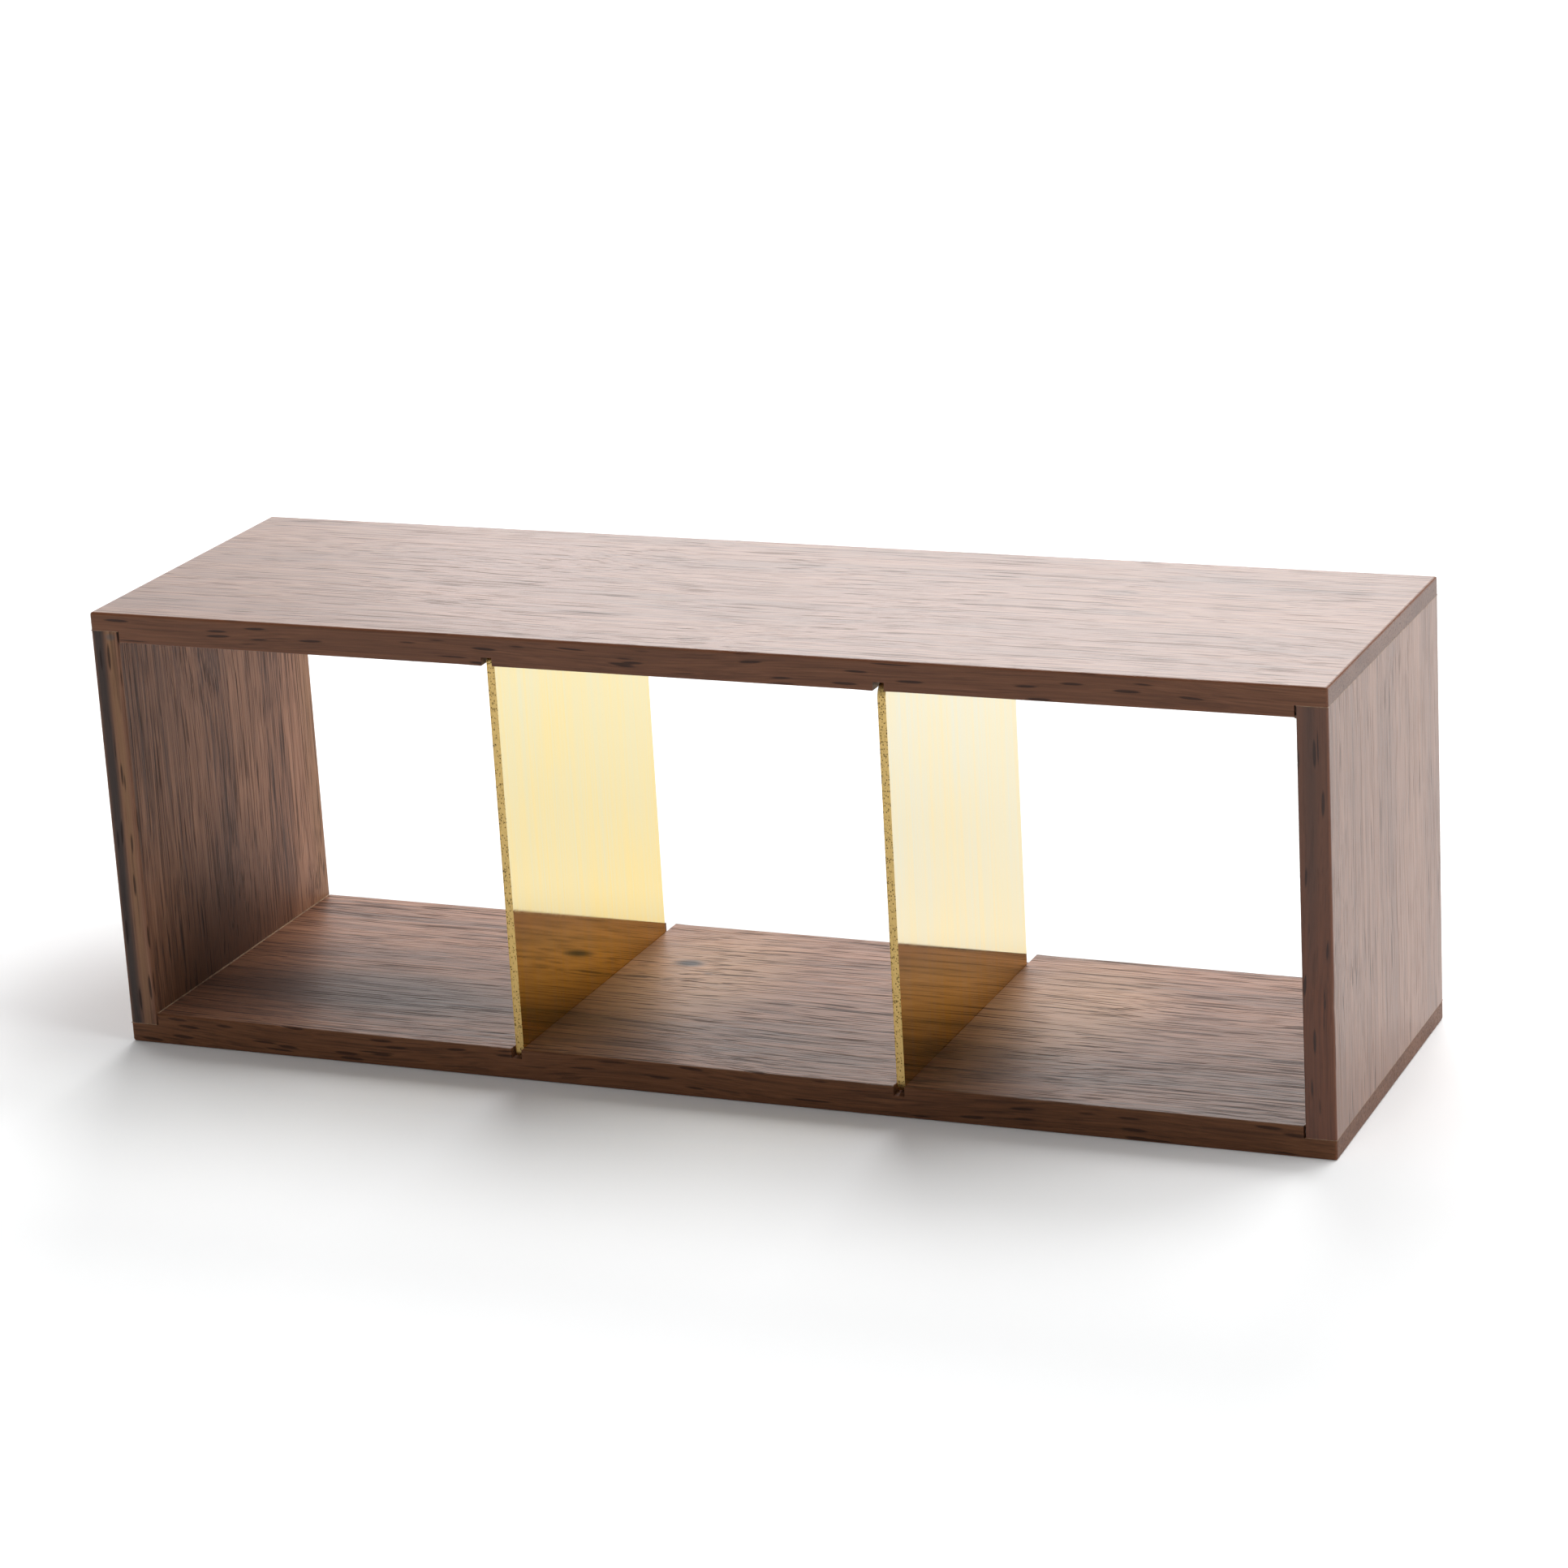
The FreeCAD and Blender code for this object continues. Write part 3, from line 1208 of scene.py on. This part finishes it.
@dataclass
class Studio:
    """The pale floor and wall, the soft light and the camera.

    Attributes:
        lamps: The lamps.
        camera_place: Where the camera stands, in metres.
        looking: The way it looks.
        roll_degrees: How far it is rolled.
        photo_side: The photograph's width, in pixels.
        focal_pixels: The lens's focal length, in pixels.
        sensor: The sensor's width, in millimetres.
        room_radius: The floor's radius.
        wall_height: The wall's height.
        far_fade: Between which distances from the object, in millimetres, the floor turns fully white.
        far_glow: How much whiter the floor is seen beyond them.
        near_fade: The same beside the object, measured as if it were square.
        near_painted_light: How much painted light lifts the floor beyond them, which narrows the object's
            shadow.
        near_offset: How far the near distances are measured to one side, in millimetres.
        near_squeeze: What makes the long object square for the near distances.
        paint: The floor's and wall's colour.
        glow_colour: The colour of the white that they are seen in.
    """

    lamps: tuple[Lamp, ...] = (
        Lamp("back_window", -15.0, 34.0, 9.7),
        Lamp("overhead_back", 30.0, 60.0, 9.4),
        Lamp("overhead_right", 90.0, 60.0, 5.7),
        Lamp("overhead_left", -50.0, 60.0, 2.0),
        Lamp("low_back", -10.0, 12.0, 2.25, width=1.4),
        Lamp("low_back_left", -40.0, 12.0, 2.3, width=0.9),
        Lamp("low_left", -60.0, 12.0, 4.0),
        Lamp("low_right", 62.0, 12.0, 4.6),
        Lamp("front_fill", 180.0, 34.0, 2.8),
    )
    camera_place: Triple = (0.34770, -0.79740, 0.32766)
    looking: Triple = (-0.376931, 0.875230, -0.303141)
    roll_degrees: float = -3.3039
    photo_side: float = 1932.0
    focal_pixels: float = 5775.6
    sensor: float = 36.0
    room_radius: float = 6.0
    wall_height: float = 1.1
    far_fade: tuple[float, float] = (350.0, 1100.0)
    far_glow: float = 0.84
    near_fade: tuple[float, float] = (42.0, 76.0)
    near_painted_light: float = 0.165
    near_offset: Triple = (28.0, 0.0, 0.0)
    near_squeeze: Triple = (0.36, 1.0, 1.0)
    paint: Triple = (0.90, 0.905, 0.91)
    glow_colour: Triple = (0.985, 1.0, 1.0)

    def camera(self) -> None:
        """Place the camera where the photograph was taken from."""
        data = bpy.data.cameras.new("photo_camera")
        data.sensor_width = self.sensor
        data.lens = self.sensor * self.focal_pixels / self.photo_side
        data.clip_start = 0.01
        data.clip_end = 10.0 * self.room_radius
        item = bpy.data.objects.new("photo_camera", data)
        bpy.context.scene.collection.objects.link(item)
        turn = Vector(self.looking).to_track_quat("-Z", "Y").to_matrix()
        roll = Matrix.Rotation(math.radians(self.roll_degrees), 3, "Z")
        item.matrix_world = Matrix.Translation(self.camera_place) @ (turn @ roll).to_4x4()
        bpy.context.scene.camera = item

    def pale(self, name: str) -> bpy.types.Material:
        """Return a matt white paint that shows fully white away from the object, with a ring of painted light
        just beside it.
        """
        graph = Graph(name)
        path = graph.add("ShaderNodeLightPath")
        seen = graph.math("MAXIMUM", path.outputs["Is Camera Ray"], path.outputs["Is Glossy Ray"])
        seen = graph.math("MAXIMUM", seen, path.outputs["Is Transmission Ray"])
        place = graph.place_mm()
        squeezed = graph.stretch(graph.move(place, self.near_offset), self.near_squeeze)
        # Far away the floor is seen plain white; beside the object a ring of painted light narrows its shadow.
        glow = graph.plus(graph.remap(graph.length(place), *self.far_fade, 0.0, self.far_glow),
                          graph.remap(graph.length(squeezed), *self.near_fade, 0.0, self.near_painted_light))
        shader = graph.surface(self.paint, 0.9, IOR=1.2, Emission_Color=(*self.glow_colour, 1.0))
        graph.feed(shader.inputs["Emission Strength"], graph.times(seen, glow))
        return graph.material

    def room(self) -> None:
        """Lay the round floor and stand the low wall around it."""
        bpy.ops.object.select_all(action="DESELECT")
        bpy.ops.mesh.primitive_circle_add(vertices=96, radius=self.room_radius, fill_type="NGON")
        floor = bpy.context.object
        floor.name = "studio_floor"
        floor.data.materials.append(self.pale("studio_floor"))
        bpy.ops.object.select_all(action="DESELECT")
        bpy.ops.mesh.primitive_cylinder_add(vertices=96, radius=self.room_radius, depth=self.wall_height,
                                            end_fill_type="NOTHING", location=(0, 0, self.wall_height / 2))
        wall = bpy.context.object
        wall.name = "studio_wall"
        bpy.ops.object.transform_apply(location=True, rotation=False, scale=False)
        bpy.ops.object.mode_set(mode="EDIT")
        bpy.ops.mesh.select_all(action="SELECT")
        bpy.ops.mesh.flip_normals()
        bpy.ops.object.mode_set(mode="OBJECT")
        wall.data.materials.append(self.pale("studio_wall"))

    def world(self) -> None:
        """Leave the room dark but for its lamps."""
        world = bpy.data.worlds.new("studio")
        world.use_nodes = True
        world.node_tree.nodes["Background"].inputs["Strength"].default_value = 0.0
        bpy.context.scene.world = world

    def build(self) -> None:
        """Set up the room, the light and the camera."""
        self.room()
        self.world()
        for lamp in self.lamps:
            lamp.hang()
        self.camera()
        bpy.context.scene.view_settings.view_transform = "Standard"


def board_finishes() -> dict[str, Walnut]:
    """Return each board's wood, by node, with the marks that the real boards have, and with painted light and
    painted shade on some boards.
    """
    along, upright = Grain.ALONG_LENGTH, Grain.UPRIGHT
    knot = (0.075, 0.055, 0.048)
    knot_heart = (0.030, 0.022, 0.020)
    smoky = (0.070, 0.036, 0.026)
    painted_shade_russet = (0.100, 0.044, 0.026)
    golden = (0.350, 0.185, 0.098)
    honey = (0.300, 0.160, 0.082)
    # amber is painted light: the golden glow that the brass plates throw onto the floor.
    amber = (0.500, 0.300, 0.150)
    charcoal = (0.034, 0.029, 0.029)
    ash = (0.17, 0.13, 0.11)
    dusky = (0.150, 0.062, 0.035)
    return {
        "top_board": Walnut(
            "walnut_top", along, cut=(210.0, 35.0, 12.0), pith=(14.0, -72.0),
            light=(0.300, 0.152, 0.093), middle=(0.212, 0.099, 0.057),
            contrast=0.86, fine_pores=0.42, roughness=(0.36, 0.58), relief=0.022, sanding=0.9,
            smudges=(Smudge((85.0, 27.0, 89.5), (14.0, 3.0, 3.0), knot, 0.30),
                     Smudge((71.0, 1.0, 89.5), (17.0, 2.4, 3.0), knot, 0.28),
                     Smudge((69.0, 15.0, 89.5), (5.0, 2.2, 3.0), smoky, 0.36))),
        "bottom_board": Walnut(
            "walnut_bottom", along, cut=(-480.0, 90.0, 47.0), pith=(-20.0, 85.0),
            # Paler than the top board's wood: painted light that brightens the compartment floors.
            light=(0.365, 0.182, 0.108), middle=(0.260, 0.119, 0.066), pore=(0.044, 0.021, 0.015),
            contrast=1.20, fine_pores=0.74, face_dashes=0.30, roughness=(0.46, 0.72), relief=0.085,
            ior=1.235, sheen=0.03, edge_tint=(0.74, 0.68, 0.56),
            # The two amber patches just right of the plates are painted light, the brass plates' golden glow on
            # the floor.
            smudges=(Smudge((-22.0, 8.0, 6.2), (24.0, 36.0, 3.0), amber, 0.42),
                     Smudge((57.0, 8.0, 6.2), (24.0, 36.0, 3.0), amber, 0.42),
                     # The smoky patch at the front of the left compartment is a dark band in the wood, deepened
                     # with painted shade.
                     Smudge((-84.0, -15.0, 6.2), (48.0, 15.0, 3.0), smoky, 0.82),
                     Smudge((-25.5, 15.8, 6.2), (4.1, 2.5, 3.0), knot_heart, 0.95),
                     Smudge((-19.3, 10.9, 6.2), (1.5, 0.6, 0.8), charcoal, 0.60))),
        "left_side": Walnut(
            "walnut_left", upright, cut=(905.0, -140.0, 73.0), pith=(40.0, -160.0),
            # Paler than the top board's wood: painted light that brightens the shaded inner face.
            light=(0.455, 0.238, 0.147), middle=(0.330, 0.158, 0.093),
            contrast=1.45, fine_pores=0.62, face_dashes=0.25, roughness=(0.50, 0.75), relief=0.050,
            sheen=0.16, edge_tint=(1.0, 1.0, 1.0),
            streaks=(Streak((38.0, -119.0), (7.5, 6.0), golden, 0.66),
                     Streak((-38.0, -123.3), (3.4, 2.0), charcoal, 0.92),
                     Streak((-38.0, -120.6), (2.0, 1.5), honey, 0.80)),
            # The russet patch low on the inner face is painted shade: the face grows darker towards the floor.
            smudges=(Smudge((-119.0, -8.0, 4.0), (6.0, 36.0, 34.0), painted_shade_russet, 0.95),
                     Smudge((-120.8, -37.5, 84.7), (1.3, 0.9, 0.9), ash, 0.80))),
        "right_side": Walnut(
            "walnut_right", upright, cut=(-95.0, 260.0, -31.0), pith=(25.0, 40.0),
            # Paler than the top board's wood: painted light that brightens the outer face.
            light=(0.380, 0.204, 0.132), middle=(0.275, 0.137, 0.085),
            contrast=0.85, fine_pores=0.38, face_dashes=0.32, roughness=(0.30, 0.52),
            ior=1.42, sheen=0.45, sanding=0.8, edge_tint=(0.66, 0.41, 0.28),
            streaks=(Streak((-38.2, 122.0), (1.6, 12.0), dusky, 0.85),
                     Streak((-38.0, 121.4), (1.2, 1.6), smoky, 0.55))),
    }


def main() -> None:
    """Build the looks and report the pieces."""
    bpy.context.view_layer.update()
    BoxFrame(board_finishes()).build()
    edges = ShearedBrass("sheared_brass")
    left_faces = BrushedBrass("brushed_brass_left")
    # The right plate's brass is paler than the left's: painted highlight for the more glancing light that it is
    # seen in.
    right_faces_painted_paler = BrushedBrass("brushed_brass_right_painted_paler", colour=(0.632, 0.606, 0.478))
    DividerPlate("left_divider", "brass_left_plate", 1.0 * MM, left_faces, edges, seed=21).build()
    DividerPlate("right_divider", "brass_right_plate", 3.0 * MM, right_faces_painted_paler, edges, seed=34).build()
    Studio().build()


if __name__ == "__main__":
    logging.basicConfig(level=logging.INFO)
    main()
